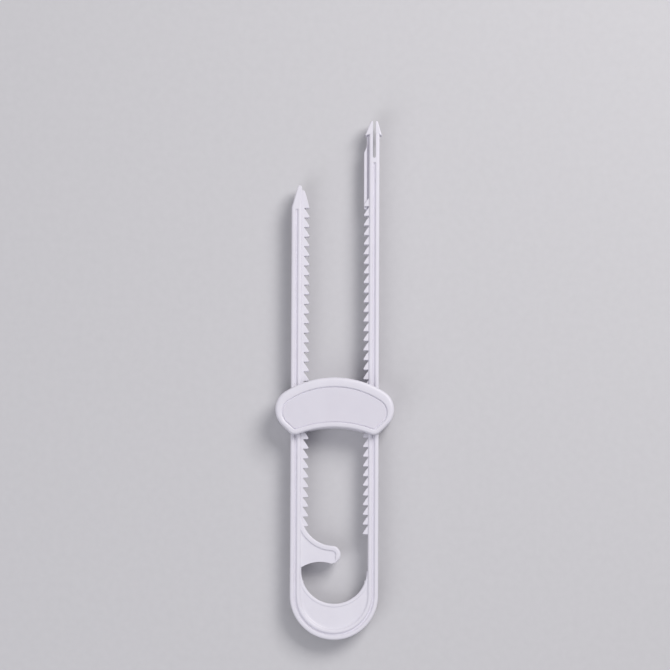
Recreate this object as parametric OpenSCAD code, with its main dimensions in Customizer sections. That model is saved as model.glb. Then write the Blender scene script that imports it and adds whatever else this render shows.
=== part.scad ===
// Cabinet safety lock, lying on its back: a toothed U-shaped strap that hooks round one knob,
// and a crescent slider that ratchets along both arms until its two side buttons are squeezed.
// X runs across the arms, Y along them towards the open end, Z from the back to the front.

/* [Strap] */
// Length from the closed end to the forked tip of the long arm
strap_len = 215; // [207:1:233]
// Width over both arms
strap_w = 36.4; // [35:0.1:40]
// Depth of the rails from back to front
strap_depth = 6; // [5.6:0.1:8]
// Width of the rail that edges the arms and the closed end
rail_w = 4.3; // [3.8:0.1:4.8]
// How far the short arm ends below the long one
arm_step = 27; // [26:0.1:28.5]
// Height of the pointed end of the short arm
short_point_h = 9; // [8:0.5:10]
// Flat at the end of the short arm's point
short_end_w = 1.2; // [0.6:0.1:1.6]
// Width of the shallow groove along the rails
groove_w = 1.4; // [0.8:0.1:2]
// Depth of the shallow groove along the rails
groove_depth = 0.6; // [0.3:0.05:0.8]

/* [Teeth] */
// Distance from one tooth to the next
tooth_pitch = 4; // [3.9:0.02:4.06]
// Height of a tooth above its root
tooth_h = 2.1; // [1.8:0.1:2.3]
// Flat at the tip of a tooth, along the arm
tooth_land = 0.5; // [0.3:0.05:0.8]
// How far the sides of the teeth lie below the rail's faces
tooth_recess = 0.6; // [0.3:0.1:1]
// Web between the short arm's rail and its teeth
short_web_w = 1.2; // [0.6:0.1:1.4]
// From the end of the long arm to the underside of the first tooth
tooth_start = 35.6; // [35.2:0.1:36]
// How much lower the short arm's teeth lie than the long arm's
short_lag = 0.8; // [0:0.1:1]
// Teeth on the long arm
long_teeth = 35; // [30:1:35]
// Teeth on the short arm
short_teeth = 34; // [30:1:34]

/* [Knob seat] */
// Radius of the seat for the first knob's stem
seat_r = 13.5; // [12.8:0.1:13.8]
// From the closed end to the middle of the seat
seat_at = 28.3; // [27.5:0.1:29]
// Thickness of the web that fills the closed end
seat_web_t = 4.2; // [3.4:0.1:4.4]
// Width of the bead round the seat
seat_bead_w = 1; // [0.6:0.1:1.6]
// How far a bead stands out of its web on each side
bead_h = 0.6; // [0.4:0.05:0.65]

/* [Hook] */
// Radius of the hook's upper edge
hook_top_r = 13.6; // [13.2:0.1:13.8]
// From the closed end to the middle of the hook's upper arc
hook_top_at = 52.2; // [51.8:0.1:53]
// Radius of the hook's rounded tip
hook_tip_r = 3.6; // [3.2:0.1:3.8]
// From the short arm's outer edge to the middle of the tip
hook_reach = 17.3; // [16:0.1:19]
// Radius of the arch under the hook
hook_arch_r = 14.7; // [14:0.1:15.5]
// From the short arm's outer edge to the middle of the arch
hook_arch_reach = 12.6; // [12:0.1:13.4]
// Width of the bead along the hook's upper edge and tip
hook_bead_w = 2.1; // [1.2:0.1:2.4]

/* [Forked tip] */
// Width of the slot that splits the long arm's tip
fork_slot_w = 1.25; // [0.8:0.05:1.6]
// Depth of the slot from the end of the arm
fork_slot_len = 15.4; // [12:0.1:16]
// Height of the arrow head
fork_head_h = 6.2; // [5.5:0.1:6.4]
// How far the inner barb stands out of the rail
barb_in = 1.8; // [1:0.1:2]
// How far the outer barb stands out of the rail
barb_out = 1; // [0.5:0.1:1.4]
// How far the barbs' undersides cut back
barb_undercut = 0.7; // [0.3:0.1:1]
// Flat at the end of each prong
prong_end_w = 0.7; // [0.4:0.1:0.9]
// Thickness of the plain web above the long arm's teeth
park_web_t = 2.4; // [1.8:0.1:2.6]
// From the end of the long arm to the top of that web
park_web_at = 9.8; // [9.2:0.1:12]
// Height of the bevel at the top of that web
park_bevel_h = 3.2; // [2:0.1:4]

/* [Slider] */
// How far the slider's middle lies below the middle of the strap
slider_at = 14; // [13.8:0.1:14.2]
// How far the slider's wings reach past the strap
wing_w = 6.3; // [6:0.1:8]
// Height of the crescent above its middle
crescent_top = 14.4; // [13.8:0.1:15]
// Depth of the crescent below its middle, between the horns
crescent_bottom = 6.2; // [6:0.1:7.5]
// Radius of the crescent's upper edge
crescent_top_r = 38.5; // [35:0.1:42]
// Radius of the crescent's ends
crescent_end_r = 8.6; // [8:0.1:9.2]
// Radius of the hollow lower edge
crescent_bottom_r = 42.6; // [38:0.1:50]
// Radius of the horns
horn_r = 3.4; // [2.8:0.1:3.8]
// From the middle of the slider to the middle of a horn
horn_x = 16.2; // [15.4:0.1:16.8]
// Thickness of the two cover plates
plate_t = 2; // [1.6:0.1:3]
// Thickness of the covers' side walls
wall_t = 1.3; // [1:0.1:1.6]
// Height of the rim round the front panel
rim_h = 0.6; // [0.3:0.1:1]
// Width of that rim at the ends
rim_side_w = 2.9; // [2:0.1:3.4]
// Width of that rim along the upper edge
rim_top_w = 3.9; // [3:0.1:4.4]
// Width of that rim along the lower edge
rim_bottom_w = 2.1; // [1.6:0.1:2.4]
// Radius of the panel's lower corners
panel_horn_r = 0.8; // [0.4:0.1:1.2]
// Radius of the pegs that join the covers
peg_r = 1.1; // [0.8:0.1:1.3]
// Length of those pegs below the parting line
peg_len = 3; // [2:0.1:3.6]
// Radius of the bosses that hold the pegs
boss_r = 2.2; // [2:0.1:2.4]

/* [Buttons] */
// Travel of a side button when squeezed
button_travel = 2.4; // [2.3:0.1:2.6]
// Thickness of the two bars that pass each arm
bridge_t = 1.2; // [1:0.1:1.6]
// Teeth on each pawl
pawl_teeth = 2; // [1:1:2]
// Thickness of the shoulders that hold a button in
shoulder_t = 1.6; // [1.2:0.1:1.8]
// How far those shoulders stand out of the pawl
shoulder_h = 1.6; // [1:0.1:2]
// Thickness of the ribs that the shoulders rest on
rib_t = 1.6; // [1.2:0.1:1.8]
// Length of those ribs
rib_len = 2.4; // [2.2:0.1:3]

/* [Springs] */
// Diameter of the spring wire
spring_wire_d = 0.5; // [0.4:0.05:0.6]
// Radius of the coil to the middle of the wire
spring_r = 1.8; // [1.4:0.05:2]
// Turns of each spring
spring_turns = 6; // [4:1:7]
// Depth of the spring's pocket in the pawl
pocket_depth = 1.8; // [1:0.1:2.2]
// Half the thickness of the wall between the springs
stop_half_t = 1; // [0.7:0.1:1.2]

/* [Clearances] */
// Gap between faces that slide past each other
run_gap = 0.2; // [0.15:0.01:0.25]
// Gap round the teeth and the arms
tooth_gap = 0.3; // [0.25:0.01:0.35]
// Gap between a peg and its socket
peg_gap = 0.03; // [0.02:0.01:0.05]

/* [Hidden] */
$fn = 96;
plastic_white = [0.93, 0.93, 0.95];
spring_steel = [0.66, 0.67, 0.7];
// Overrun of every cut past the face it leaves
overrun = 1;
// Points on each arc of the crescent, and rings and sides of the spring's wire
arc_steps = 14;
rings_per_turn = 8;
wire_sides = 6;

// Heights of the layers, from the back cover to the front rim
strap_z = plate_t + run_gap + bridge_t + run_gap;
strap_top_z = strap_z + strap_depth;
mid_z = strap_z + strap_depth / 2;
front_plate_z = strap_top_z + run_gap + bridge_t + run_gap;
panel_z = front_plate_z + plate_t;
button_z = plate_t + run_gap;
button_top_z = front_plate_z - run_gap;

// Lines across the strap
arm_outer = strap_w / 2;
rail_inner = arm_outer - rail_w;
rail_mid = arm_outer - rail_w / 2;
rail_bite = rail_w / 4;
long_root = rail_inner;
long_tip = long_root - tooth_h;
short_root = rail_inner - short_web_w;
short_tip = short_root - tooth_h;
tooth_depth = strap_depth - 2 * tooth_recess;
bead_depth = seat_web_t + 2 * bead_h;

// Levels along the strap
end_y = strap_len / 2;
closed_y = -strap_len / 2;
bend_y = closed_y + arm_outer;
first_y = end_y - tooth_start;
short_first_y = first_y - short_lag;
short_end_y = end_y - arm_step;
short_shoulder_y = short_end_y - short_point_h;
fork_y = end_y - fork_head_h;
slot_y = end_y - fork_slot_len;
seat_y = closed_y + seat_at;
hook_y = closed_y + hook_top_at;
hook_tip = [
    hook_reach - arm_outer,
    hook_y - sqrt((hook_top_r + hook_tip_r) ^ 2 - (hook_reach - arm_outer) ^ 2),
];
hook_arch = [
    hook_arch_reach - arm_outer,
    hook_tip.y - sqrt((hook_arch_r + hook_tip_r) ^ 2 - (hook_reach - hook_arch_reach) ^ 2),
];

// The slider's own middle line, and the tooth that its pawls catch first
slider_y = -slider_at;
slider_half_w = arm_outer + wing_w;
end_x = slider_half_w - crescent_end_r;
end_cy = crescent_top - crescent_top_r + sqrt((crescent_top_r - crescent_end_r) ^ 2 - end_x ^ 2);
pawl_h = pawl_teeth * tooth_pitch + short_lag;
caught = round((first_y - slider_y - end_cy - pawl_h / 2) / tooth_pitch);
pawl_top = first_y - caught * tooth_pitch;
pawl_bottom = pawl_top - pawl_h;
pawl_mid = (pawl_top + pawl_bottom) / 2;
tooth_slope = (tooth_pitch - tooth_land) / tooth_h;
pawl_tip_gap = tooth_gap + run_gap / 2;
pad_inner = arm_outer + button_travel + tooth_gap;
boss_low_y = slider_y - crescent_bottom + wall_t + boss_r / 2;
boss_high_y = slider_y + crescent_top - wall_t - boss_r;

// Points on an arc round c, from angle a to angle b
function arc(c, r, a, b) =
    [for (i = [0:arc_steps]) c + r * [cos(a + (b - a) * i / arc_steps), sin(a + (b - a) * i / arc_steps)]];

// Half of a crescent from the middle of its upper edge to the middle of its hollow edge:
// upper arc, end arc, straight flank, horn and hollow arc, each tangent to the next
function half_crescent(half_w, top, bottom, top_r, end_r, bottom_r, horn_r, horn_x) =
    let(
        top_c = [0, top - top_r],
        end_c = [half_w - end_r, top_c.y + sqrt((top_r - end_r) ^ 2 - (half_w - end_r) ^ 2)],
        low_c = [0, -bottom - bottom_r],
        horn_c = [horn_x, low_c.y + sqrt((bottom_r + horn_r) ^ 2 - horn_x ^ 2)],
        join = atan2(end_c.y - top_c.y, end_c.x),
        reach = end_c - horn_c,
        flank = atan2(reach.y, reach.x) - acos((horn_r - end_r) / norm(reach)),
        turn = atan2(low_c.y - horn_c.y, low_c.x - horn_c.x)
    )
    concat(
        arc(top_c, top_r, 90, join),
        arc(end_c, end_r, join, flank),
        arc(horn_c, horn_r, flank, turn),
        arc(low_c, bottom_r, turn + 180, 90)
    );

function mirrored(points) =
    concat(points, [for (i = [len(points) - 2:-1:1]) [-points[i].x, points[i].y]]);

// Crescent outline of the covers, set in by an inset smaller than the horn's radius
function crescent(inset = 0) = mirrored(half_crescent(
    slider_half_w - inset, crescent_top - inset, crescent_bottom - inset, crescent_top_r - inset,
    crescent_end_r - inset, crescent_bottom_r + inset, horn_r - inset, horn_x));

function panel_outline() = mirrored(half_crescent(
    slider_half_w - rim_side_w, crescent_top - rim_top_w, crescent_bottom - rim_bottom_w,
    crescent_top_r - rim_top_w, crescent_end_r - rim_side_w, crescent_bottom_r + rim_bottom_w,
    panel_horn_r, horn_x));

// Outline of a row of teeth from start_y down: square undersides, sloped upper flanks
function tooth_row(count, root, tip, start_y) = concat(
    [[rail_inner + rail_bite, start_y + tooth_pitch]],
    [
        for (k = [0:count - 1])
            let(y = start_y - k * tooth_pitch)
                each [[root, y + tooth_pitch], [tip, y + tooth_land], [tip, y], [root, y]]
    ],
    [[rail_inner + rail_bite, start_y - (count - 1) * tooth_pitch]]
);

// A flat shape given a depth, centred on the strap's middle plane
module layer(depth) {
    translate([0, 0, mid_z - depth / 2]) linear_extrude(depth) children();
}

// A band that runs down the left arm, round the closed end and up the right arm
module u_band(inner, outer, left_y, right_y) {
    translate([0, bend_y]) intersection() {
        difference() {
            circle(outer);
            circle(inner);
        }
        translate([-outer, -outer]) square([2 * outer, outer]);
    }
    translate([-outer, bend_y]) square([outer - inner, left_y - bend_y]);
    translate([inner, bend_y]) square([outer - inner, right_y - bend_y]);
}

// Rails of both arms, with the short arm's point and the long arm's forked arrow head
module rail_shape() {
    u_band(rail_inner, arm_outer, short_shoulder_y, fork_y + barb_undercut);
    polygon([
        [-arm_outer, short_shoulder_y], [-rail_inner, short_shoulder_y],
        [-rail_inner, short_end_y], [-rail_inner - short_end_w, short_end_y],
    ]);
    prong = fork_slot_w / 2 + prong_end_w;
    polygon([
        [rail_inner, fork_y + barb_undercut], [rail_inner - barb_in, fork_y],
        [rail_mid - prong, end_y], [rail_mid + prong, end_y],
        [arm_outer + barb_out, fork_y], [arm_outer, fork_y + barb_undercut],
    ]);
}

module teeth_shape() {
    polygon(tooth_row(long_teeth, long_root, long_tip, first_y));
    mirror([1, 0]) polygon(tooth_row(short_teeth, short_root, short_tip, short_first_y));
    mirror([1, 0]) polygon([
        [rail_inner + rail_bite, short_first_y], [short_tip, short_first_y],
        [short_tip, short_first_y + tooth_land],
        [short_root - tooth_land, short_end_y - tooth_h], [rail_inner, short_end_y - tooth_land],
    ]);
}

// Web between the short arm's rail and the hook, below its last tooth
module hook_shape() {
    difference() {
        translate([-rail_inner - rail_bite, hook_arch.y])
            square([hook_tip.x + rail_inner + rail_bite, hook_y - hook_arch.y]);
        translate([0, hook_y]) circle(hook_top_r);
        translate(hook_arch) circle(hook_arch_r);
    }
    translate(hook_tip) circle(hook_tip_r);
}

module hook_bead_shape() {
    intersection() {
        hook_shape();
        union() {
            difference() {
                translate([0, hook_y]) circle(hook_top_r + hook_bead_w);
                translate([0, hook_y]) circle(hook_top_r);
            }
            translate(hook_tip) difference() {
                translate([0, -hook_tip_r]) square([hook_tip_r, 2 * hook_tip_r]);
                circle(hook_tip_r - hook_bead_w);
            }
        }
    }
}

// Closed end inside the rails, below the middle of the seat
module closed_end_shape() {
    translate([0, bend_y]) circle(rail_inner + rail_bite);
    translate([-rail_inner - rail_bite, bend_y])
        square([2 * (rail_inner + rail_bite), seat_y - bend_y]);
}

module seat_web_shape() {
    difference() {
        closed_end_shape();
        translate([0, seat_y]) circle(seat_r);
    }
}

module seat_bead_shape() {
    intersection() {
        seat_web_shape();
        translate([0, seat_y]) circle(seat_r + seat_bead_w);
    }
}

// Plain web on the long arm above its teeth, where the slider parks when the lock is open
module park_web_shape() {
    polygon([
        [rail_inner + rail_bite, first_y], [long_tip, first_y],
        [long_tip, end_y - park_web_at - park_bevel_h], [rail_inner, end_y - park_web_at],
        [rail_inner + rail_bite, end_y - park_web_at],
    ]);
}

module rail_grooves() {
    for (z = [strap_z - overrun, strap_top_z - groove_depth])
        translate([0, 0, z]) linear_extrude(groove_depth + overrun)
            u_band(rail_mid - groove_w / 2, rail_mid + groove_w / 2, short_shoulder_y, slot_y - groove_w);
}

module strap() {
    color(plastic_white) difference() {
        union() {
            layer(strap_depth) rail_shape();
            layer(tooth_depth) teeth_shape();
            layer(seat_web_t) hook_shape();
            layer(bead_depth) hook_bead_shape();
            layer(seat_web_t) seat_web_shape();
            layer(bead_depth) seat_bead_shape();
            layer(park_web_t) park_web_shape();
        }
        rail_grooves();
        translate([rail_mid - fork_slot_w / 2, slot_y, strap_z - overrun])
            cube([fork_slot_w, fork_slot_len + overrun, strap_depth + 2 * overrun]);
    }
}

// Side walls, ribs, spring wall and bosses of one cover, from z up by h
module cover_walls(z, h) {
    translate([0, slider_y, z]) linear_extrude(h) difference() {
        polygon(crescent());
        polygon(crescent(wall_t));
    }
    for (side = [-1, 1], up = [false, true])
        translate([
            side > 0 ? long_tip - tooth_gap - rib_t : -short_tip + tooth_gap,
            up ? pawl_top + tooth_gap : pawl_bottom - tooth_gap - rib_len, z])
            cube([rib_t, rib_len, h]);
    translate([-stop_half_t, boss_low_y, z]) cube([2 * stop_half_t, boss_high_y - boss_low_y, h]);
    for (y = [boss_low_y, boss_high_y])
        translate([0, y, z]) cylinder(r = boss_r, h = h);
}

// Way for the two arms through the walls, and the windows for the two buttons
module cover_ways() {
    way_h = crescent_top + crescent_bottom + horn_r + 2 * overrun;
    way_y = slider_y - crescent_bottom - horn_r - overrun;
    ways = [[-arm_outer - run_gap, -short_tip + run_gap], [long_tip - run_gap, arm_outer + run_gap]];
    for (way = ways)
        translate([way[0], way_y, strap_z - run_gap])
            cube([way[1] - way[0], way_h, strap_depth + 2 * run_gap]);
    for (x = [-slider_half_w - overrun, arm_outer])
        translate([x, pawl_bottom - run_gap, plate_t])
            cube([wing_w + overrun, pawl_h + 2 * run_gap, front_plate_z - plate_t]);
}

module front_cover() {
    color(plastic_white) difference() {
        union() {
            translate([0, slider_y, front_plate_z]) linear_extrude(plate_t + rim_h) polygon(crescent());
            cover_walls(mid_z, front_plate_z - mid_z);
            for (y = [boss_low_y, boss_high_y])
                translate([0, y, mid_z - peg_len]) cylinder(r = peg_r, h = peg_len + overrun);
        }
        translate([0, slider_y, panel_z]) linear_extrude(rim_h + overrun) polygon(panel_outline());
        cover_ways();
    }
}

module rear_cover() {
    color(plastic_white) difference() {
        union() {
            translate([0, slider_y, 0]) linear_extrude(plate_t) polygon(crescent());
            cover_walls(plate_t, mid_z - plate_t);
        }
        for (y = [boss_low_y, boss_high_y])
            translate([0, y, mid_z - peg_len - run_gap])
                cylinder(r = peg_r + peg_gap, h = peg_len + run_gap + overrun);
        cover_ways();
    }
}

// One side button: finger pad, two bars past the arm, and a pawl with teeth and shoulders inside.
// Drawn on the right, for an arm whose teeth have the given root and tip lines, and lag behind
// the long arm's teeth.
module squeeze_button(root, tip, lag) {
    block_outer = tip - tooth_gap;
    shoulder_outer = block_outer - rib_t - run_gap / 2;
    block_inner = shoulder_outer - shoulder_t;
    button_h = button_top_z - button_z;
    slot_half = park_web_t / 2 + tooth_gap;
    flank_w = root - pawl_tip_gap - block_outer + run_gap;
    color(plastic_white) difference() {
        union() {
            translate([0, 0, button_z]) linear_extrude(button_h) intersection() {
                translate([end_x, slider_y + end_cy]) circle(crescent_end_r - run_gap);
                translate([pad_inner, pawl_bottom]) square([wing_w, pawl_h]);
            }
            for (z = [button_z, button_top_z - bridge_t])
                translate([block_inner, pawl_bottom, z])
                    cube([pad_inner - block_inner + run_gap, pawl_h, bridge_t]);
            translate([block_inner, pawl_bottom, button_z])
                cube([block_outer - block_inner, pawl_h, button_h]);
            translate([block_inner, pawl_bottom - shoulder_h, button_z])
                cube([shoulder_t, pawl_h + 2 * shoulder_h, button_h]);
            for (k = [0:pawl_teeth - 1])
                translate([0, pawl_top - lag - k * tooth_pitch - run_gap, button_z])
                    linear_extrude(button_h) polygon([
                        [root - pawl_tip_gap, 0], [block_outer - run_gap, 0],
                        [block_outer - run_gap, -tooth_slope * flank_w],
                    ]);
        }
        translate([block_outer, pawl_bottom - overrun, mid_z - slot_half])
            cube([root - block_outer, pawl_h + 2 * overrun, 2 * slot_half]);
        translate([block_inner - overrun, pawl_mid, mid_z]) rotate([0, 90, 0])
            cylinder(r = spring_r + spring_wire_d / 2 + tooth_gap, h = pocket_depth + overrun);
    }
}

module left_button() {
    mirror([1, 0, 0]) squeeze_button(short_root, short_tip, short_lag);
}

module right_button() {
    squeeze_button(long_root, long_tip, 0);
}

// A helical spring along +X, from x0 to x1, as one swept tube with closed ends
module coil_spring(x0, x1) {
    rings = spring_turns * rings_per_turn;
    wire_r = spring_wire_d / 2;
    rise = (x1 - x0 - spring_wire_d) / rings;
    function ring(i) =
        let(a = 360 * i / rings_per_turn)
            [
                for (j = [0:wire_sides - 1])
                    let(b = 360 * j / wire_sides, r = spring_r + wire_r * cos(b))
                        [x0 + wire_r + rise * i + wire_r * sin(b), r * cos(a), r * sin(a)]
            ];
    points = [for (i = [0:rings]) each ring(i)];
    sides = [
        for (i = [0:rings - 1], j = [0:wire_sides - 1])
            let(
                p = i * wire_sides + j,
                q = i * wire_sides + (j + 1) % wire_sides
            )
                each [[p, q, q + wire_sides], [p, q + wire_sides, p + wire_sides]]
    ];
    caps = [
        for (j = [1:wire_sides - 2])
            each [[0, j + 1, j], [rings * wire_sides, rings * wire_sides + j, rings * wire_sides + j + 1]]
    ];
    color(spring_steel) translate([0, pawl_mid, mid_z])
        polyhedron(points, concat(sides, caps), convexity = spring_turns);
}

// Inner face of a pawl's spring pocket, for an arm whose teeth end at the given line
function pocket_face(tip) = tip - tooth_gap - rib_t - run_gap / 2 - shoulder_t + pocket_depth;

module left_spring() {
    mirror([1, 0, 0]) coil_spring(stop_half_t + run_gap / 2, pocket_face(short_tip) - run_gap / 2);
}

module right_spring() {
    coil_spring(stop_half_t + run_gap / 2, pocket_face(long_tip) - run_gap / 2);
}

strap();
front_cover();
rear_cover();
left_button();
right_button();
left_spring();
right_spring();
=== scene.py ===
# %% [markdown]
# A sliding cabinet lock, its parts modelled one by one
# The lock is a white moulded strap, bent into a long U with teeth inside both arms, and a small crescent
# slider that clicks along the teeth. The engineering model fixes where each part is and how it moves. This
# lesson gives every part its rounded, moulded look, and leaves the sizes as they are.

# %% Load the imported model
import math

import bpy
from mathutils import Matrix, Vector


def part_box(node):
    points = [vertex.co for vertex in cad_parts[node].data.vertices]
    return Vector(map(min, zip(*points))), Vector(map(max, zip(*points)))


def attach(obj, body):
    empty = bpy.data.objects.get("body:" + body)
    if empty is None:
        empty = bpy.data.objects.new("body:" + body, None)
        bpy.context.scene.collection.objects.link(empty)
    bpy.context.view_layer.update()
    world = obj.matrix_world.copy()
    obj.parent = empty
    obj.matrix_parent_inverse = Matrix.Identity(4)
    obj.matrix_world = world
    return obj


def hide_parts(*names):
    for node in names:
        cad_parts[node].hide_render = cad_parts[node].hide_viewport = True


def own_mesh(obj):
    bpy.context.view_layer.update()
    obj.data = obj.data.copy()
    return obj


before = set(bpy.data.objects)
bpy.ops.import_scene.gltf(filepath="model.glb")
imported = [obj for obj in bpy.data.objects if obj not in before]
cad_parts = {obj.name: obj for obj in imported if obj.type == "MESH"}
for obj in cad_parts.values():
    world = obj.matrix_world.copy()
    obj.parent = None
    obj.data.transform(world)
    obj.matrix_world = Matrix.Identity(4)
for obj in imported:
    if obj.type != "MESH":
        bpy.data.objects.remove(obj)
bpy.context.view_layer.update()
MM = 0.001
tiny = 0.01 * MM
weld = 0.2 * tiny
strap_low, strap_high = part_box("strap")
front_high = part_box("front_cover")[1]
mid_z = (strap_low.z + strap_high.z) / 2

# %% [markdown]
# ## A few bench tools
# Blender's operators work on whatever is selected, so each tool below first says what it works on. `pick`
# selects vertices, edges or faces by where they are, which is what a hand does with the mouse. `modify`
# adds a modifier and applies it at once, and `fuse` and `cut` join and carve solids.


# %% Selecting and placing
def object_mode():
    if bpy.context.mode != "OBJECT":
        bpy.ops.object.mode_set(mode="OBJECT")


def select_only(*objects):
    object_mode()
    bpy.ops.object.select_all(action="DESELECT")
    for obj in objects:
        obj.select_set(True)
    bpy.context.view_layer.objects.active = objects[0]


def edit_all(obj, kind="VERT"):
    """Go to edit mode with the whole mesh selected."""
    select_only(obj)
    bpy.ops.object.mode_set(mode="EDIT")
    bpy.ops.mesh.select_mode(type=kind)
    bpy.ops.mesh.select_all(action="SELECT")


def pick(obj, kind, test):
    """Go to edit mode with only those VERT, EDGE or FACE items selected that pass the test."""
    edit_all(obj, kind)
    bpy.ops.mesh.select_all(action="DESELECT")
    object_mode()
    mesh = obj.data
    if kind == "VERT":
        for vertex in mesh.vertices:
            vertex.select = test(vertex.co)
    elif kind == "EDGE":
        for edge in mesh.edges:
            a, b = (mesh.vertices[i].co for i in edge.vertices)
            edge.select = test(a, b)
    else:
        for face in mesh.polygons:
            face.select = test(face.center)
    bpy.ops.object.mode_set(mode="EDIT")


def place_mesh(obj):
    """Put the object's place into its mesh, so that the object itself sits at the origin."""
    select_only(obj)
    bpy.ops.object.transform_apply(location=True, rotation=True, scale=True)
    return obj


def outward(obj):
    """Turn every face outwards and leave edit mode."""
    edit_all(obj)
    bpy.ops.mesh.normals_make_consistent(inside=False)
    object_mode()
    return obj


print("selection tools ready")


# %% Shaping and joining
def modify(obj, kind, **settings):
    select_only(obj)
    bpy.ops.object.modifier_add(type=kind)
    modifier = obj.modifiers[-1]
    for name, value in settings.items():
        setattr(modifier, name, value)
    bpy.ops.object.modifier_apply(modifier=modifier.name)
    return obj


def soften(obj, width, segments=3, angle=30):
    """Round every edge that turns by more than the angle."""
    return modify(obj, "BEVEL", width=width, segments=segments, limit_method="ANGLE",
                  angle_limit=math.radians(angle), use_clamp_overlap=True)


def combine(obj, others, operation):
    for other in others:
        modify(obj, "BOOLEAN", operation=operation, object=other, solver="EXACT")
        bpy.data.objects.remove(other)
    return obj


def fuse(obj, *others):
    return combine(obj, others, "UNION")


def cut(obj, *others):
    return combine(obj, others, "DIFFERENCE")


def extrude(x=0.0, y=0.0, z=0.0):
    bpy.ops.mesh.extrude_region_move(TRANSFORM_OT_translate={"value": (x, y, z)})


def spin(centre, degrees, steps):
    """Sweep what is selected round a vertical axis, anticlockwise seen from the front."""
    bpy.ops.mesh.spin(steps=steps, angle=-math.radians(degrees), center=centre, axis=(0, 0, 1))


def merge_close(obj):
    """Merge the points that a boolean leaves almost on each other, so that the mesh stays closed."""
    edit_all(obj)
    bpy.ops.mesh.remove_doubles(threshold=weld)
    object_mode()


def finish_surface(obj, angle=40):
    """Weld the mesh, and shade it so that flat faces stay flat beside their rounded edges."""
    merge_close(obj)
    outward(obj)
    bpy.ops.object.shade_smooth_by_angle(angle=math.radians(angle))
    modify(obj, "WEIGHTED_NORMAL", keep_sharp=True)
    print(obj.name, "faces:", len(obj.data.polygons))
    return obj


print("shaping tools ready")


# %% Plain stock to start from
def block(name, low, high, round_r=0.0, segments=3):
    """A cube primitive stretched between two corners, with its edges rounded."""
    low, high = Vector(low), Vector(high)
    object_mode()
    bpy.ops.mesh.primitive_cube_add(size=1, location=(low + high) / 2)
    obj = bpy.context.object
    obj.name = name
    obj.scale = high - low
    place_mesh(obj)
    return soften(obj, round_r, segments) if round_r else obj


def drum(name, centre, radius, z0, z1, sides=96):
    """A cylinder primitive that stands on z0."""
    object_mode()
    bpy.ops.mesh.primitive_cylinder_add(
        vertices=sides, radius=radius, depth=z1 - z0, location=(centre[0], centre[1], (z0 + z1) / 2))
    obj = bpy.context.object
    obj.name = name
    return place_mesh(obj)


def prism(name, corners, z0, z1, round_r=0.0, segments=3):
    """A cylinder primitive with one side per corner, each of its columns moved out to its corner."""
    obj = drum(name, (0, 0), MM, z0, z1, sides=len(corners))
    for vertex in obj.data.vertices:
        column = vertex.index // 2
        vertex.co.x, vertex.co.y = corners[column]
    outward(obj)
    return soften(obj, round_r, segments) if round_r else obj


def section(name, x0, x1, y, z0, z1, round_r, segments=4):
    """A flat cross-section with rounded corners, standing across the strap, left in edit mode."""
    object_mode()
    bpy.ops.mesh.primitive_plane_add(
        size=1, location=((x0 + x1) / 2, y, (z0 + z1) / 2), rotation=(math.pi / 2, 0, 0))
    obj = bpy.context.object
    obj.name = name
    obj.scale = (x1 - x0, z1 - z0, 1)
    place_mesh(obj)
    edit_all(obj)
    bpy.ops.mesh.bevel(offset=round_r, segments=segments, affect="VERTICES")
    bpy.ops.mesh.select_mode(type="FACE")
    bpy.ops.mesh.select_all(action="SELECT")
    return obj


def outline_section(name, corners, y):
    """A flat cross-section through any corners (x, z), standing at y, left in edit mode."""
    object_mode()
    bpy.ops.mesh.primitive_circle_add(vertices=len(corners), radius=MM, fill_type="NGON")
    obj = bpy.context.object
    obj.name = name
    for vertex, (x, z) in zip(obj.data.vertices, corners):
        vertex.co = (x, y, z)
    edit_all(obj, "FACE")
    return obj


print("stock tools ready")

# %% [markdown]
# ## The rail of the strap
# The strap's outer rail is one bar that runs down the left arm, round the closed end and up the right arm,
# with a shallow groove along its front and back. A bar like this is drawn best as a single cross-section
# that is extruded along the straight arms and spun round the bend, because the groove then stays even.
# Where the groove has run out its points lie almost on each other, so they are merged before the bar goes
# on, and both of its ends are poked into a fan of triangles.

# %% Lines and levels of the strap
rail_w = 4.3 * MM
strap_depth = strap_high.z - strap_low.z
arm_outer = -strap_low.x
rail_mid = arm_outer - rail_w / 2
rail_inner = arm_outer - rail_w
end_y = strap_high.y
closed_y = -end_y
bend_y = closed_y + arm_outer
short_end_y = end_y - 27 * MM
short_shoulder_y = short_end_y - 9 * MM
slot_y = end_y - 15.4 * MM
fork_y = end_y - 6.2 * MM
slot_w = 1.25 * MM
barb_in, barb_out = 1.8 * MM, 1.0 * MM
undercut = 0.7 * MM
prong = slot_w / 2 + 0.75 * MM
groove_w, groove_depth = 1.4 * MM, 0.9 * MM
groove_fade = 0.7 * MM
groove_top_y = slot_y - 2.4 * MM
groove_short_y = short_shoulder_y - 0.8 * MM
rail_round = 0.75 * MM
bend_steps = 72
print("strap from", round(closed_y / MM, 1), "to", round(end_y / MM, 1), "mm")

# %% Cross-section of the rail
bpy.ops.object.select_all(action="DESELECT")
strap = section("toothed_strap", -arm_outer, -rail_inner, groove_short_y - groove_fade,
                strap_low.z, strap_high.z, rail_round, segments=5)


def on_face(co):
    return abs(abs(co.z - mid_z) - strap_depth / 2) < tiny


def off_middle(co):
    """How far a point of the short arm's section lies from the middle of the rail."""
    return abs(co.x + rail_mid)


def sink(reach, depth):
    """Press the points within reach of the rail's middle into both faces, to the given depth."""
    pick(strap, "VERT", lambda co: on_face(co) and off_middle(co) < reach)
    bpy.ops.transform.resize(value=(1, 1, 1 - 2 * depth / strap_depth), center_override=(0, 0, mid_z))


def groove_corner(co):
    return abs(co.z - mid_z) > strap_depth / 4 and groove_w / 8 < off_middle(co) < 0.6 * groove_w


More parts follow.
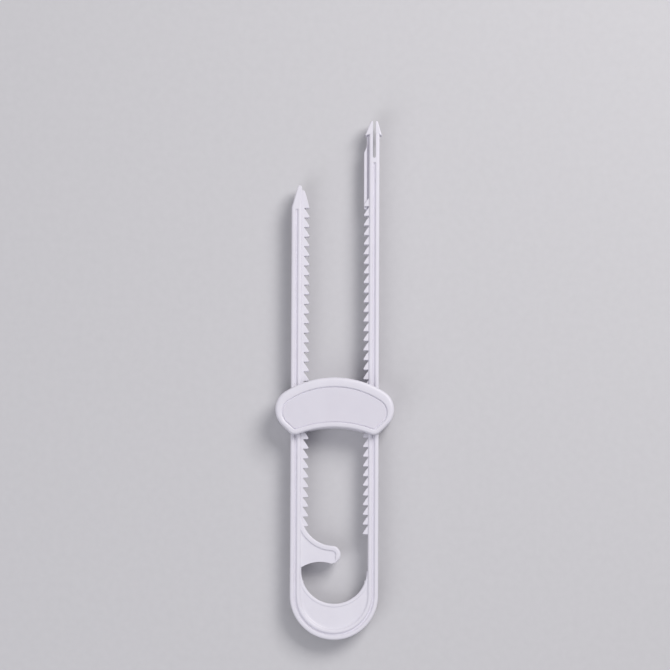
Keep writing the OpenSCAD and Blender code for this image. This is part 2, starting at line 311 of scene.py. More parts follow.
floor_reach, wall_reach = 0.1 * groove_w, 0.4 * groove_w
wall_depth = 0.8 * groove_depth
groove_round = 0.16 * MM
pick(strap, "EDGE", lambda a, b: on_face(a) and on_face(b) and (a - b).length > rail_w / 2)
bpy.ops.mesh.subdivide(number_cuts=7)
sink(floor_reach, groove_depth)
sink(wall_reach, wall_depth)
pick(strap, "VERT", groove_corner)
bpy.ops.mesh.bevel(offset=groove_round, segments=3, affect="VERTICES")
object_mode()
print("rail section:", len(strap.data.vertices), "points")

# %% Sweep it down the short arm, round the closed end and up the long arm
edit_all(strap, "FACE")
extrude(y=bend_y - (groove_short_y - groove_fade))
spin((0, bend_y, mid_z), 180, bend_steps)
extrude(y=groove_top_y - bend_y)


def fade_groove(obj, y):
    """Lift the groove to the rail's face on the section at y, so that it runs out softly."""
    object_mode()
    for vertex in obj.data.vertices:
        co = vertex.co
        if abs(co.y - y) < tiny and abs(abs(co.x) - rail_mid) < rail_w / 2 - rail_round + tiny:
            co.z = mid_z + math.copysign(strap_depth / 2, co.z - mid_z)
    bpy.ops.object.mode_set(mode="EDIT")


head_bite, head_taper = MM, 0.9
flat_weld = 0.13 * MM
extrude(y=groove_fade)
fade_groove(strap, groove_top_y + groove_fade)
bpy.ops.mesh.remove_doubles(threshold=flat_weld)
extrude(y=fork_y + undercut - groove_top_y - groove_fade)
extrude(y=head_bite)
bpy.ops.transform.resize(value=(head_taper, 1, head_taper), center_override=(rail_mid, 0, mid_z))
bpy.ops.mesh.poke()
pick(strap, "FACE", lambda co: abs(co.y - (groove_short_y - groove_fade)) < tiny and co.x < 0)
extrude(y=groove_fade)
fade_groove(strap, groove_short_y)
bpy.ops.mesh.remove_doubles(threshold=flat_weld)
extrude(y=short_shoulder_y - groove_short_y)
print("rail swept:", len(strap.data.polygons), "faces")

# %% Draw the short arm out to a blunt point
point_x = -rail_inner - 0.85 * MM
point_h = 1.1 * MM
point_narrow = 0.44
point_rings = ((0.5, 0.86, 0.97), (0.35, 0.76, 0.93), (0.25, 0.5, 0.9))
extrude(y=short_end_y - short_shoulder_y - point_h)
bpy.ops.transform.resize(value=(point_narrow, 1, 1), center_override=(-rail_inner, 0, mid_z))
for rise, narrow, thin in point_rings:
    extrude(y=rise * MM)
    bpy.ops.transform.resize(value=(narrow, 1, thin), center_override=(point_x, 0, mid_z))
bpy.ops.mesh.poke()
object_mode()
short_arm_top = max(v.co.y for v in strap.data.vertices if v.co.x < 0)
print("short arm ends at", round(short_arm_top / MM, 2), "mm")

# %% [markdown]
# ## The teeth
# Each tooth has a flat underside that the slider's pawl hooks under, and a sloped upper flank that lets the
# pawl ride over when the lock is pushed shut. A whole row is drawn as one comb, because its softened edges
# then run on from tooth to tooth as they do in the mould. The short arm's comb has a narrow web as its
# back, and its top follows the pointed tip of the arm.

# %% Two combs of teeth
tooth_pitch = 4 * MM
tooth_h = 2.1 * MM
tooth_inset = 0.6 * MM
tooth_depth = strap_depth - 2 * tooth_inset
long_teeth, short_teeth = 35, 34
long_first_y = end_y - 35.6 * MM
short_first_y = long_first_y - 0.8 * MM
long_tip = rail_inner - tooth_h
short_root = rail_inner - 1.2 * MM
short_tip = short_root - tooth_h
short_tooth_root = short_root + 0.2 * MM
bite = rail_inner + rail_w / 4
comb_round = 0.35 * MM
comb_low, comb_high = mid_z - tooth_depth / 2, mid_z + tooth_depth / 2


def tooth(root, y):
    """Corners of one tooth, down its slightly bowed flank, round its blunt tip and along its underside."""
    tip_r = 0.42 * MM
    flank_top = 0.9 * tooth_pitch
    bow_out, bow_up = 0.42 * tooth_h, 0.62 * tooth_pitch
    nose = Vector((root - tooth_h + tip_r, y + tip_r))
    turns = [math.radians(a) for a in (150, 175, 200, 225, 250, 270)]
    corners = [(root, y + flank_top), (root - bow_out, y + bow_up)]
    corners += [(nose.x + tip_r * math.cos(a), nose.y + tip_r * math.sin(a)) for a in turns]
    return corners + [(root, y)]


def comb(name, side, top, root, start_y, teeth, foot):
    """A row of teeth below its top corners; side is 1 on the right arm and -1 on the left."""
    corners = list(top)
    for k in teeth:
        corners += tooth(root, start_y - k * tooth_pitch)
    corners += foot
    return prism(name, [(side * x, y) for x, y in corners], comb_low, comb_high, comb_round)


long_last_y = long_first_y - (long_teeth - 1) * tooth_pitch
short_last_y = short_first_y - (short_teeth - 1) * tooth_pitch
right_teeth = comb("right_teeth", 1, [(bite, long_first_y + tooth_pitch)], rail_inner, long_first_y,
                   range(long_teeth), [(bite, long_last_y)])
short_tip_edge = [
    (bite, short_end_y - 2.5 * MM), (rail_inner - 0.3 * MM, short_end_y - 1.9 * MM),
    (short_root + 0.3 * MM, short_end_y - 2.2 * MM), (short_root - 0.1 * MM, short_end_y - 2.9 * MM),
    (short_root - 0.8 * MM, short_end_y - 5.2 * MM), (short_tip + 0.55 * MM, short_first_y + 1.2 * MM),
    (short_tip + 0.25 * MM, short_first_y), (short_tooth_root, short_first_y),
]
left_teeth = comb("left_teeth", -1, short_tip_edge, short_tooth_root, short_first_y,
                  range(1, short_teeth), [(short_tooth_root, short_last_y - MM), (bite, short_last_y - MM)])
print("teeth:", len(right_teeth.data.polygons) + len(left_teeth.data.polygons), "faces")

# %% [markdown]
# ## The closed end and its hook
# Inside the bend a thin web carries the round seat for the first knob's stem, with a bead along its edge.
# A hooked finger above it keeps the stem in. The webs are cut from plain stock with round cutters, and the
# beads are sections spun round the centres of the arcs that they follow. The hook's bead goes round its
# nose and then thins out, so each of its last sections is drawn in towards the outer edge.

# %% Web and bead of the knob seat
seat_r = 13.5 * MM
seat_y = closed_y + 28.3 * MM
web_half = 2.1 * MM
web_low, web_high = mid_z - web_half, mid_z + web_half
seat_bead_w, seat_bead_half = 1.6 * MM, web_half + 0.25 * MM
seat_bead_rise = 4.5 * MM
bead_round = 0.6 * MM
seat_lap = 0.4 * MM
fine_sides = 128
seat_web = fuse(
    drum("seat_web", (0, bend_y), bite, web_low, web_high),
    block("seat_fill", (-bite, bend_y, web_low), (bite, seat_y, web_high)))
cut(seat_web, drum("seat_cutter", (0, seat_y), seat_r + seat_lap, web_low - MM, web_high + MM,
                   sides=fine_sides))
seat_bead = section("seat_bead", -seat_r - seat_bead_w, -seat_r, seat_y,
                    mid_z - seat_bead_half, mid_z + seat_bead_half, bead_round)
spin((0, seat_y, mid_z), 180, bend_steps)
pick(seat_bead, "FACE", lambda co: abs(co.y - seat_y) < tiny and co.x < 0)
extrude(y=seat_bead_rise)
outward(seat_bead)
print("seat bead:", len(seat_bead.data.polygons), "faces")

# %% Soft corners between the webs and the rail
fillet_r = 1.3 * MM
fillet_rise = 0.4 * MM
fillet_lap = 0.2 * MM
fillet_drop = 4 * MM
fillet_turns = [math.radians(a) for a in (15, 30, 45, 60, 75, 90)]
fillet_shape = [(fillet_r / 4, fillet_rise + fillet_lap)]
fillet_shape += [(-fillet_r * (1 - math.cos(a)), fillet_rise * (1 - math.sin(a)) + tiny)
                 for a in fillet_turns]
fillet_corners = [(-rail_inner - out, web_high + up) for out, up in fillet_shape]
fillet_corners += [(x, 2 * mid_z - z) for x, z in reversed(fillet_corners)]
seat_fillet = outline_section("seat_fillet", fillet_corners, seat_y - fillet_drop)
extrude(y=bend_y - seat_y + fillet_drop)
spin((0, bend_y, mid_z), 180, bend_steps)
extrude(y=seat_y - fillet_drop - bend_y)
outward(seat_fillet)
print("seat fillet:", len(seat_fillet.data.polygons), "faces")

# %% Web of the hook
hook_y = closed_y + 52.2 * MM
hook_top_r = 13.6 * MM
hook_tip_r = 3.6 * MM
hook_lap, nose_inset = 0.3 * MM, 0.05 * MM
web_round = 0.3 * MM
arch_r = 14.7 * MM
tip_x = 17.3 * MM - arm_outer
tip_y = hook_y - math.sqrt((hook_top_r + hook_tip_r) ** 2 - tip_x ** 2)
arch_x = 12.6 * MM - arm_outer
arch_y = tip_y - math.sqrt((arch_r + hook_tip_r) ** 2 - (tip_x - arch_x) ** 2)
hook_web = block("hook_web", (-bite, arch_y, web_low), (tip_x, hook_y, web_high))
cut(hook_web,
    drum("hook_top_cutter", (0, hook_y), hook_top_r + hook_lap, web_low - MM, web_high + MM,
         sides=fine_sides),
    drum("hook_arch_cutter", (arch_x, arch_y), arch_r, web_low - MM, web_high + MM, sides=fine_sides))
fuse(hook_web, drum("hook_end", (tip_x, tip_y), hook_tip_r - nose_inset, web_low, web_high))
soften(hook_web, web_round)
print("hook tip at", round(tip_x / MM, 2), round(tip_y / MM, 2), "mm")

# %% Bead round the hook
hook_bead_w, hook_bead_half = 2.1 * MM, web_half + 0.6 * MM
hook_steps, nose_steps = 48, 30
nose_turn = 118
taper_steps, taper_turn = 8, 8
taper_w, taper_depth = 0.84, 0.955
tip_angle = math.degrees(math.atan2(tip_y - hook_y, tip_x)) % 360
hook_bead = section("hook_bead", -hook_top_r - hook_bead_w, -hook_top_r, hook_y,
                    mid_z - hook_bead_half, mid_z + hook_bead_half, bead_round)
spin((0, hook_y, mid_z), tip_angle - 180, hook_steps)
spin((tip_x, tip_y, mid_z), -nose_turn, nose_steps)
for step in range(1, taper_steps + 1):
    spin((tip_x, tip_y, mid_z), -taper_turn, 1)
    turned = math.radians(tip_angle - 180 - nose_turn - taper_turn * step)
    edge_x = tip_x + hook_tip_r * math.cos(turned)
    edge_y = tip_y + hook_tip_r * math.sin(turned)
    bpy.ops.transform.resize(value=(taper_w, taper_w, taper_depth), center_override=(edge_x, edge_y, mid_z))
outward(hook_bead)
print("hook bead:", len(hook_bead.data.polygons), "faces")

# %% Soft corner beside the hook
hook_fillet_drop = 6 * MM
trim_r = arch_r + 0.35 * MM
hook_fillet = outline_section("hook_fillet", fillet_corners, arch_y)
extrude(y=hook_y - hook_fillet_drop - arch_y)
outward(hook_fillet)
cut(hook_fillet, drum("fillet_trim", (arch_x, arch_y), trim_r, strap_low.z, strap_high.z, sides=fine_sides))
print("hook fillet:", len(hook_fillet.data.polygons), "faces")

# %% [markdown]
# ## The forked tip
# The long arm ends in an arrow head, split by a slot so that its two prongs can spring together and their
# barbs keep the slider from sliding off. The rail ends inside the head, so the head is one rounded prism,
# and a cutter with a round end makes the slot. Below the head a plain strip with a bead along its edge
# runs down to the first tooth.

# %% Arrow head
head_recess = 0.02 * MM
neck = 0.3 * MM
arrow_head = prism("arrow_head", [
    (rail_inner + neck, fork_y + undercut), (rail_inner - barb_in, fork_y), (rail_mid - prong, end_y),
    (rail_mid + prong, end_y), (arm_outer + barb_out, fork_y), (arm_outer - neck, fork_y + undercut),
], strap_low.z + head_recess, strap_high.z - head_recess, round_r=0.4 * MM, segments=4)
print("arrow head:", len(arrow_head.data.polygons), "faces")

# %% Plain strip below it
park_top = end_y - 9.8 * MM
park_foot, park_step = long_first_y - MM, 0.3 * MM
park_half = 1.2 * MM
park_bead_w = 1.3 * MM
park_floor = 0.6 * MM
park_edge = rail_inner - MM
park_web = prism("park_web", [
    (bite, park_foot - park_step), (long_tip + park_bead_w / 2, park_foot - park_step),
    (long_tip + park_bead_w / 2, park_top - 2.4 * MM), (park_edge, park_top),
    (park_edge, fork_y + undercut / 2), (bite, fork_y + undercut / 2),
], mid_z - park_floor, mid_z + park_floor, round_r=0.15 * MM)
park_bead = prism("park_bead", [
    (long_tip, park_foot), (long_tip, park_top - 3.2 * MM),
    (rail_inner - 0.7 * MM, park_top), (long_tip + park_bead_w, park_top - 1.8 * MM),
    (long_tip + park_bead_w, park_foot),
], mid_z - park_half, mid_z + park_half, round_r=0.25 * MM)
print("plain strip from", round(park_foot / MM, 2), "to", round(park_top / MM, 2), "mm")

# %% Cutter for the slot
slot_cutter = block("slot_cutter", (rail_mid - slot_w / 2, slot_y, strap_low.z - MM),
                    (rail_mid + slot_w / 2, end_y + 3 * MM, strap_high.z + MM))
pick(slot_cutter, "EDGE", lambda a, b: abs(a.z - b.z) > MM and a.y < slot_y + tiny)
bpy.ops.mesh.bevel(offset=slot_w / 2 - tiny, segments=6, affect="EDGES")
object_mode()
print("slot cutter:", len(slot_cutter.data.polygons), "faces")

# %% [markdown]
# ## One solid strap
# The parts are fused one after the other. A boolean can only tell inside from outside on a closed mesh, and
# where two round surfaces meet it leaves points a hair apart that open tiny cracks. They are merged after
# each step, because on a cracked mesh a later step may lose a whole part.

# %% Weld the strap together
strap_parts = [right_teeth, left_teeth, seat_web, seat_fillet, seat_bead, hook_web, hook_fillet, hook_bead,
               park_web, park_bead, arrow_head]
for part in strap_parts:
    fuse(strap, part)
    merge_close(strap)
cut(strap, slot_cutter)
finish_surface(strap)

# %% [markdown]
# ## The slider's two covers
# The slider is a crescent box in two halves, parted at the middle of its depth. The front half carries a
# broad rounded rim round a sunken panel, with a fine crease where the two meet. A box like this could be
# cut from a block, but its edge runs through arcs of four radii, so here one point is spun along the arcs,
# mirrored into a closed ring, and rings of different insets are bridged into a skin. Moving a ring in or
# out is then all that the rim's profile takes.

# %% Sizes of the crescent
crescent_top = 14.4 * MM
crescent_bottom = 6.2 * MM
crescent_top_r = 38.5 * MM
crescent_end_r = 8.6 * MM
crescent_low_r = 42.6 * MM
horn_r = 3.4 * MM
horn_x = 16.2 * MM
slider_half_w = front_high.x
end_x = slider_half_w - crescent_end_r
slider_y = front_high.y - crescent_top
wall_t = 1.3 * MM
plate_t = 2 * MM
top_steps, end_steps, horn_steps, low_steps = 28, 28, 12, 24
top_c_y = slider_y + crescent_top - crescent_top_r
low_c_y = slider_y - crescent_bottom - crescent_low_r
end_c_y = top_c_y + math.sqrt((crescent_top_r - crescent_end_r) ** 2 - end_x ** 2)
print("slider middle at y =", round(slider_y / MM, 2), "mm")


# %% A ring, and the skin over a stack of rings
def crescent_ring(z, inset):
    """A closed crescent of edges: one point spun along each arc of the right half, then mirrored."""
    side, top, bottom, horn = inset
    top_r, end_r = crescent_top_r - top, crescent_end_r - side
    low_r, tip_r = crescent_low_r + bottom, horn_r - horn
    top_c, low_c = Vector((0, top_c_y, z)), Vector((0, low_c_y, z))
    end_c = Vector((end_x, top_c_y + math.sqrt((top_r - end_r) ** 2 - end_x ** 2), z))
    tip_c = Vector((horn_x, low_c_y + math.sqrt((low_r + tip_r) ** 2 - horn_x ** 2), z))
    reach = end_c - tip_c
    join = math.atan2(end_c.y - top_c.y, end_c.x)
    flank = math.atan2(reach.y, reach.x) - math.acos((tip_r - end_r) / reach.length)
    turn = math.atan2(low_c.y - tip_c.y, low_c.x - tip_c.x)
    straight = tip_c - end_c + (tip_r - end_r) * Vector((math.cos(flank), math.sin(flank), 0))
    object_mode()
    bpy.ops.mesh.primitive_plane_add(size=MM, location=top_c + Vector((0, top_r, 0)))
    ring = place_mesh(bpy.context.object)
    edit_all(ring)
    bpy.ops.mesh.merge(type="CENTER")
    spin(top_c, math.degrees(join) - 90, top_steps)
    spin(end_c, math.degrees(flank - join), end_steps)
    extrude(x=straight.x, y=straight.y)
    spin(tip_c, math.degrees(turn - flank), horn_steps)
    spin(low_c, -90 - math.degrees(turn), low_steps)
    object_mode()
    return modify(ring, "MIRROR", merge_threshold=tiny)


def join_all(name, parts):
    select_only(*parts)
    bpy.ops.object.join()
    bpy.context.object.name = name
    return bpy.context.object


def skin(name, profile):
    """Bridge the rings of a profile of heights and insets, weld the strips and close both ends."""
    strips = []
    for lower, upper in zip(profile, profile[1:]):
        strip = join_all(name + "_strip", [crescent_ring(*lower), crescent_ring(*upper)])
        edit_all(strip)
        bpy.ops.mesh.bridge_edge_loops()
        object_mode()
        strips.append(strip)
    shell = join_all(name, strips)
    edit_all(shell)
    bpy.ops.mesh.remove_doubles(threshold=weld)
    bpy.ops.mesh.fill_holes(sides=0)
    return outward(shell)


def even(inset):
    """The same inset at the ends, along the top and bottom, and at the horns."""
    return (inset, inset, inset, inset)


print("ring of", len(crescent_ring(mid_z, even(0)).data.vertices), "points")
bpy.ops.object.delete()

# %% Profile of the rim
seam = 0.15 * MM
edge_r = 1.1 * MM
quarter = [math.radians(a) for a in (0, 18, 36, 54, 72)]
panel_drop = 0.6 * MM
plate_z = front_high.z - panel_drop - plate_t
rim_inset = (2.8 * MM, 3.8 * MM, 2.0 * MM, horn_r - 1.2 * MM)
edge_inset = edge_r * (1 - math.cos(quarter[-1]))
crest_drop = 0.05 * MM
low_wall_share = 0.3
# Each pair of the slope is a share of the way across the rim and a drop in mm below its crest. Each pair of
# the crease is a distance in mm past the rim's foot and a drop.
rim_slope = [(0.25, 0.0), (0.5, 0.03), (0.7, 0.09), (0.86, 0.17), (0.93, 0.24), (0.97, 0.38), (0.99, 0.6)]
crease = [(0.02, 0.82), (0.1, 0.9), (0.26, 0.9), (0.36, 0.8), (0.44, 0.64), (0.52, 0.6)]


def across_rim(share):
    """Insets on the way from the rounded outer edge to the panel's edge; the lower wall is steeper."""
    shares = (share, share, 1 - low_wall_share * (1 - share), share)
    return tuple(edge_inset + way * (inset - edge_inset) for way, inset in zip(shares, rim_inset))


def past_rim(past):
    """Insets a little further in than the panel's edge."""
    return tuple(inset + past for inset in rim_inset)


print("rim of", len(rim_slope), "rings, crease of", len(crease))

# %% Skins of both covers
front_profile = [
    (plate_z, even(wall_t)), (mid_z, even(wall_t)), (mid_z, even(seam)), (mid_z + seam, even(0)),
]
front_profile += [
    (front_high.z - crest_drop - edge_r * (1 - math.sin(a)), even(edge_r * (1 - math.cos(a))))
    for a in quarter
]
front_profile += [(front_high.z - drop * MM, across_rim(share)) for share, drop in rim_slope]
front_profile += [(front_high.z - drop * MM, past_rim(past * MM)) for past, drop in crease]
front_shell = skin("front_shell", front_profile)

back_profile = [
    (plate_t, even(wall_t)), (mid_z, even(wall_t)), (mid_z, even(seam)), (mid_z - seam, even(0)),
]
back_profile += [(edge_r * (1 - math.sin(a)), even(edge_r * (1 - math.cos(a)))) for a in quarter]
back_profile += [(0, even(edge_r))]
back_shell = skin("back_shell", back_profile)
print("skins:", len(front_shell.data.polygons), "and", len(back_shell.data.polygons), "faces")

# %% [markdown]
# ## Inside the covers
# Two ribs a side hold each button in, a wall in the middle carries both springs, and two pegs on the front
# half press into bosses on the back half. They are small blocks and drums fused to the covers, and they
# stop just short of the parting line so that no two faces lie in one plane.

# %% Ribs, spring wall, bosses and pegs
left_low, left_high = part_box("left_button")
right_low, right_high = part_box("right_button")
shoulder_h = 1.6 * MM
pawl_top, pawl_bottom = left_high.y - shoulder_h, left_low.y + shoulder_h
pawl_mid = (pawl_top + pawl_bottom) / 2
gap = 0.3 * MM
run_gap = 0.2 * MM
rib_t, rib_len = 1.6 * MM, 2.4 * MM
boss_r, peg_r, peg_len = 2.2 * MM, 1.1 * MM, 3 * MM
wall_bite = 0.1 * MM
parting_gap, peg_gap = 0.05 * MM, 0.03 * MM
peg_sides = 48
stop_half = 1 * MM
boss_ys = (slider_y - crescent_bottom + wall_t + boss_r / 2, slider_y + crescent_top - wall_t - boss_r)
rib_xs = (-short_tip + gap, long_tip - gap - rib_t)
rib_ys = (pawl_top + gap, pawl_bottom - gap - rib_len)


def furnish(shell, z0, z1):
    """Fuse the inner walls that both covers share, from z0 to z1."""
    parts = [block("rib", (x, y, z0), (x + rib_t, y + rib_len, z1), round_r=0.2 * MM)
             for x in rib_xs for y in rib_ys]
    parts.append(block("spring_wall", (-stop_half, boss_ys[0], z0), (stop_half, boss_ys[1], z1)))
    parts += [drum("boss", (0, y), boss_r + wall_bite, z0, z1, sides=peg_sides) for y in boss_ys]
    return fuse(shell, *parts)


furnish(front_shell, mid_z + parting_gap, plate_z + plate_t / 4)
pegs = [drum("peg", (0, y), peg_r, mid_z - peg_len, mid_z + MM, sides=peg_sides) for y in boss_ys]
fuse(front_shell, *pegs)
furnish(back_shell, plate_t * 3 / 4, mid_z - parting_gap)
sockets = [drum("socket", (0, y), peg_r + peg_gap, mid_z - peg_len - run_gap, mid_z + MM, sides=peg_sides)
           for y in boss_ys]
cut(back_shell, *sockets)
print("pegs at", [round(y / MM, 2) for y in boss_ys], "mm")


# %% Ways for the arms and windows for the buttons
def ways():
    """Fresh cutters: one rounded bar for each arm and one for each button."""
    low_y, high_y = low_c_y + crescent_low_r - 5 * MM, front_high.y + MM
    z0, z1 = strap_low.z - run_gap, strap_high.z + run_gap
    spans = [(-arm_outer - run_gap, -short_tip + run_gap), (long_tip - run_gap, arm_outer + run_gap)]
    bars = [block("arm_way", (x0, low_y, z0), (x1, high_y, z1), round_r=0.5 * MM) for x0, x1 in spans]
    for x0 in (-slider_half_w - MM, arm_outer):
        near = (x0, pawl_bottom - run_gap, plate_t)
        far = (x0 + slider_half_w + MM - arm_outer, pawl_top + run_gap, plate_z)
        bars.append(block("button_window", near, far, round_r=0.3 * MM))
    return bars


for shell in (front_shell, back_shell):
    cut(shell, *ways())
    finish_surface(shell)

# %% [markdown]
# ## The squeeze buttons
# Each button is a curved finger pad at the end of the slider, joined by two thin bars to a toothed block on
# the inner side of the arm, so the arm runs through it. Seen from the front it is one outline, so it starts
# as a prism with an arc for the pad. The arm's passage is cut out, the pawl's two teeth are fused in, and
# the slot for the plain strip and the spring's pocket are cut last.

# %% One button for each side
bridge_t = 1.2 * MM
shoulder_t = 1.6 * MM
squeeze = 2.4 * MM
pad_inner = arm_outer + squeeze + gap
pad_steps = 20
pad_r = crescent_end_r - run_gap
spring_r, wire_r = 1.8 * MM, 0.25 * MM
pocket_depth = 1.8 * MM
slot_half = park_half + gap
slot_step = 0.02 * MM
pawl_teeth = 2
pawl_slope = (tooth_pitch - 0.5 * MM) / tooth_h


def squeeze_button(name, side, root, tip, lag):
    """A button drawn on the right; side -1 mirrors it to the left arm."""
    outer = tip - gap
    inner = outer - rib_t - run_gap / 2 - shoulder_t
    z0, z1 = right_low.z, right_high.z
    low_a, high_a = (math.asin((y - end_c_y) / pad_r) for y in (pawl_bottom, pawl_top))
    arc = [low_a + (high_a - low_a) * i / pad_steps for i in range(pad_steps + 1)]
    corners = [(inner, pawl_bottom - shoulder_h), (inner + shoulder_t, pawl_bottom - shoulder_h),
               (inner + shoulder_t, pawl_bottom)]
    corners += [(end_x + pad_r * math.cos(a), end_c_y + pad_r * math.sin(a)) for a in arc]
    corners += [(inner + shoulder_t, pawl_top), (inner + shoulder_t, pawl_top + shoulder_h),
                (inner, pawl_top + shoulder_h)]
    button = prism(name, corners, z0, z1, round_r=0.25 * MM)
    cut(button, block("passage", (outer, pawl_bottom - MM, z0 + bridge_t),
                      (pad_inner, pawl_top + MM, z1 - bridge_t), round_r=0.3 * MM))
    flank_w = root - outer - gap + run_gap / 2
    for k in range(pawl_teeth):
        y = pawl_top - lag - k * tooth_pitch - run_gap
        back_x = outer - run_gap
        fuse(button, prism("pawl_tooth", [
            (root - gap - run_gap / 2, y), (back_x, y), (back_x, y - pawl_slope * flank_w),
        ], z0 + bridge_t / 2, z1 - bridge_t / 2, round_r=0.1 * MM))
    cut(button, block("strip_slot", (outer + slot_step, pawl_bottom - MM, mid_z - slot_half),
                      (root + MM, pawl_top + MM, mid_z + slot_half), round_r=0.2 * MM))
    bpy.ops.mesh.primitive_cylinder_add(
        vertices=64, radius=spring_r + wire_r + gap, depth=2 * pocket_depth,
        location=(inner, pawl_mid, mid_z), rotation=(0, math.pi / 2, 0))
    cut(button, place_mesh(bpy.context.object))
    select_only(button)
    button.scale.x = side
    place_mesh(button)
    return finish_surface(button)


left_pawl = squeeze_button("left_squeeze_button", -1, short_root, short_tip, long_first_y - short_first_y)
right_pawl = squeeze_button("right_squeeze_button", 1, rail_inner, long_tip, 0)

# %% [markdown]
# ## The springs
# Behind each pawl sits a small coil of spring wire. A coil is one round section turned and pushed along an
# axis, which is what the Screw modifier does, so the section is drawn beside the axis and the modifier
# winds it.


# %% Wind both springs
def coil(name, node, side):
    """A closed coil as long as its node; side is 1 for the right pawl and -1 for the left."""
    low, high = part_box(node)
    start_x = low.x if side > 0 else high.x
    length = high.x - low.x
    turns, turn_steps = 6, 28
    object_mode()
    bpy.ops.mesh.primitive_circle_add(
        vertices=10, radius=wire_r, location=(start_x + side * wire_r, pawl_mid, mid_z))
    spring = bpy.context.object
    spring.name = name
    edit_all(spring)
    bpy.ops.transform.translate(value=(0, spring_r, 0))
    object_mode()
    modify(spring, "SCREW", axis="X", angle=2 * math.pi, iterations=turns,
           steps=turn_steps, render_steps=turn_steps,
           screw_offset=side * (length - 2 * wire_r) / turns, use_normal_calculate=True)
    place_mesh(spring)
    edit_all(spring)
    bpy.ops.mesh.remove_doubles(threshold=weld)
    bpy.ops.mesh.fill_holes(sides=0)
    outward(spring)
    return finish_surface(spring)


left_coil = coil("left_coil_spring", "left_spring", -1)
right_coil = coil("right_coil_spring", "right_spring", 1)

# %% [markdown]
# ## Shader arithmetic
# A surface's finish is a small sum: a base value plus a little noise. The class below wraps a shader socket
# so that such a sum can be written as one, and each operator adds the Math node that it stands for.


# %% A socket that can be added and multiplied
class Wire:
    def __init__(self, tree, socket=None):
        self.tree = tree
        self.socket = socket

    def node(self, kind, settings, values, output=0):
        """Add a node, set its settings, then its sockets, and return one of its outputs."""
        made = self.tree.nodes.new(kind)
        for name, value in settings.items():
            setattr(made, name, value)
        for key, value in values.items():
            if isinstance(value, Wire):
                self.tree.links.new(value.socket, made.inputs[key])
            else:
                made.inputs[key].default_value = value
        return Wire(self.tree, made.outputs[output])

    def maths(self, operation, a, b):
        return self.node("ShaderNodeMath", {"operation": operation}, {0: a, 1: b})

    def __add__(self, other):
        return self.maths("ADD", self, other)

    def __radd__(self, other):
        return self.maths("ADD", other, self)

    def __mul__(self, other):
        return self.maths("MULTIPLY", self, other)

    def __rmul__(self, other):
        return self.maths("MULTIPLY", other, self)

    def feed(self, socket):
        self.tree.links.new(self.socket, socket)


def new_finish(name):
    """A material with its shader, and a wire that carries the piece's own coordinates in metres."""
    material = bpy.data.materials.new(name)
    material.use_nodes = True
    tree = material.node_tree
    place = Wire(tree).node("ShaderNodeTexCoord", {}, {}, "Object")
    return material, tree.nodes["Principled BSDF"], place


def noise(place, size, detail=2.0):
    """Soft noise whose patches are about the given size across."""
    return place.node("ShaderNodeTexNoise", {}, {"Vector": place, "Scale": 1 / size, "Detail": detail})


def blend(place, share, first, second):
    """A colour between the first and the second, by a share that changes over the surface."""
    first_socket, second_socket, colour_output = 6, 7, 2
    colours = {first_socket: (*first, 1), second_socket: (*second, 1)}
    return place.node("ShaderNodeMix", {"data_type": "RGBA"}, {"Factor": share, **colours}, colour_output)


print("shader tools ready")

# %% [markdown]
# ## Finishes
# The lock is moulded in a cool white plastic with a soft gloss. Even a plain moulding isn't one flat
# colour: the melt flows along the arms and leaves faint paler and greyer streaks, the gloss changes a
# little too, and the skin has a very fine ripple. The slider's panel comes from a spark-eroded patch of the
# mould, so it is finer grained and less glossy than the rim round it. Its colour is also set darker than
# the rim's, which is painted shade on the sunken panel.


# %% White plastic, gloss and satin
def white_plastic(name, pale, dark, roughness, grain_size, grain_height):
    """Streaked white plastic: two colours, a mean roughness, and the size and height of its ripple."""
    material, shader, place = new_finish(name)
    flow = place.node("ShaderNodeMapping", {}, {"Vector": place, "Scale": (1.0, 0.25, 1.0)})
    streaks = noise(flow, 9 * MM, detail=3.0)
    cloud = noise(place, 4 * MM)
    streak_share, cloud_share = 0.65, 0.35
    blend(place, streak_share * streaks + cloud_share * cloud, dark, pale).feed(shader.inputs["Base Color"])
    swing = 0.12
    (roughness - swing / 2 + swing * cloud).feed(shader.inputs["Roughness"])
    ripple = noise(place, grain_size)
    bump = place.node("ShaderNodeBump", {}, {"Strength": 1.0, "Distance": grain_height, "Height": ripple})
    bump.feed(shader.inputs["Normal"])
    shader.inputs["IOR"].default_value = 1.49
    shader.inputs["Subsurface Weight"].default_value = 0.12
    shader.inputs["Subsurface Radius"].default_value = (1.0, 0.95, 0.9)
    shader.inputs["Subsurface Scale"].default_value = 0.6 * MM
    return material


gloss_white = white_plastic(
    "gloss_white_plastic", pale=(0.78, 0.765, 0.83), dark=(0.71, 0.69, 0.76),
    roughness=0.34, grain_size=0.8 * MM, grain_height=0.004 * MM)
# The satin colours are darker than the gloss white's as painted shade; its higher roughness and finer
# ripple are the panel's real finish.
satin_white_painted_shade = white_plastic(
    "satin_plastic_painted_shade", pale=(0.71, 0.69, 0.76), dark=(0.65, 0.63, 0.70),
    roughness=0.55, grain_size=0.28 * MM, grain_height=0.006 * MM)
print("plastics:", gloss_white.name, satin_white_painted_shade.name)

# %% Spring wire
wire_finish, shader, place = new_finish("bright_spring_wire")
along = place.node("ShaderNodeMapping", {}, {"Vector": place, "Scale": (1.0, 0.3, 0.3)})
drawn = noise(along, 0.15 * MM)
blend(place, drawn, (0.46, 0.46, 0.48), (0.68, 0.68, 0.70)).feed(shader.inputs["Base Color"])
(0.22 + 0.16 * drawn).feed(shader.inputs["Roughness"])
shader.inputs["Metallic"].default_value = 1.0
print("wire:", wire_finish.name)
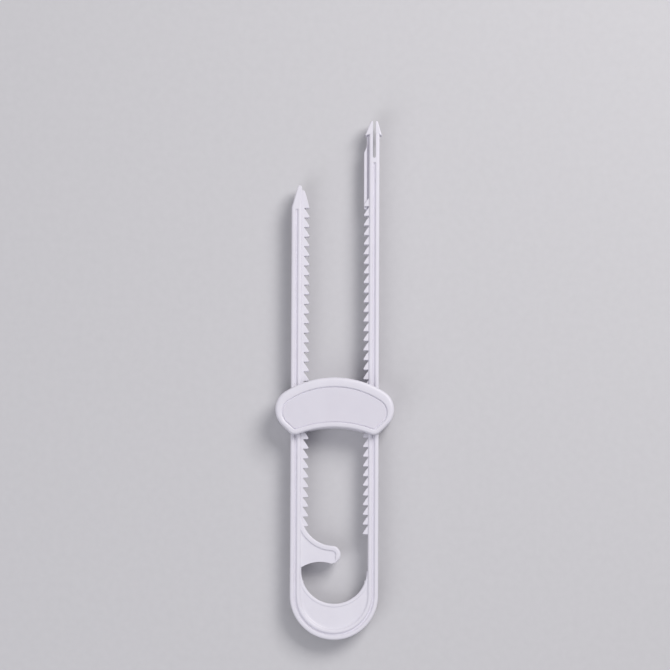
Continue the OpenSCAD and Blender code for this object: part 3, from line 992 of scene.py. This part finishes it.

# %% Lay the finishes on, hang each piece on its body and hide the part it replaces
pieces = [
    (strap, "strap", "strap"),
    (front_shell, "slider", "front_cover"),
    (back_shell, "slider", "rear_cover"),
    (left_pawl, "left_button", "left_button"),
    (right_pawl, "right_button", "right_button"),
]
for piece, body, node in pieces:
    piece.data.materials.append(gloss_white)
    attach(piece, body)
    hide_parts(node)
# The flat panel faces take the satin finish, whose darker colour is painted shade.
front_shell.data.materials.append(satin_white_painted_shade)
panel_z = front_high.z - panel_drop
for face in front_shell.data.polygons:
    on_panel = abs(face.center.z - panel_z) < tiny and face.normal.z > 0.9
    face.material_index = 1 if on_panel else 0

springs = [
    (left_coil, "left_spring", "left_squeeze", -1),
    (right_coil, "right_spring", "right_squeeze", 1),
]
for spring, node, joint, side in springs:
    spring.data.materials.append(wire_finish)
    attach(spring, "slider")
    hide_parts(node)
    anchor_x = side * (stop_half + run_gap / 2)
    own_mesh(spring)
print("pieces:", [row[0].name for row in pieces + springs])

# %% [markdown]
# ## Floor, light and camera
# The lock lies on its back on pale paper, under one soft lamp from the upper right and a weaker one from
# the lower left. A white object needs restraint: the lamps are only so strong that the plastic renders
# about as its colour is written.

# %% Floor
object_mode()
floor_drop = 0.05 * MM
bpy.ops.mesh.primitive_plane_add(size=6, location=(0, 0, -floor_drop))
floor = place_mesh(bpy.context.object)
floor.name = "paper_floor"
paper, shader, place = new_finish("pale_paper")
fibres = noise(place, 3 * MM, detail=4.0)
blend(place, fibres, (0.56, 0.555, 0.575), (0.60, 0.595, 0.615)).feed(shader.inputs["Base Color"])
shader.inputs["Roughness"].default_value = 0.9
floor.data.materials.append(paper)
print("floor:", floor.name)


# %% Lamps
def lamp(name, place, size, watts, colour):
    """A square lamp at a place in metres, turned to the middle of the lock."""
    bpy.ops.object.light_add(type="AREA", location=place)
    light = bpy.context.object
    light.name = name
    light.data.size = size
    light.data.energy = watts
    light.data.color = colour
    light.rotation_euler = (-Vector(place)).to_track_quat("-Z", "Y").to_euler()


lamp("key_lamp", place=(0.5, 0.55, 0.8), size=0.55, watts=8.6, colour=(1.0, 0.98, 0.97))
lamp("fill_lamp", place=(-0.5, -0.55, 0.7), size=0.8, watts=3.5, colour=(0.97, 0.97, 1.0))
world = bpy.data.worlds.new("studio")
bpy.context.scene.world = world
world.use_nodes = True
background = world.node_tree.nodes["Background"]
background.inputs["Color"].default_value = (0.95, 0.95, 1.0, 1)
background.inputs["Strength"].default_value = 0.35
bpy.context.scene.view_settings.view_transform = "Standard"
print("world light:", world.name)

# %% Camera
aim = Vector((0, 18.2 * MM, 9.6 * MM))
elevation = math.radians(85.6)
roll = math.radians(0.24)
distance = 1500 * MM
bpy.ops.object.camera_add()
camera = bpy.context.object
camera.location = aim + distance * Vector((0, -math.cos(elevation), math.sin(elevation)))
camera.rotation_euler = (aim - camera.location).to_track_quat("-Z", "Y").to_euler()
camera.rotation_euler.rotate_axis("Z", roll)
camera.data.lens = 194.8
camera.data.sensor_width = 36
bpy.context.scene.camera = camera
print("camera:", [round(value, 3) for value in camera.location])
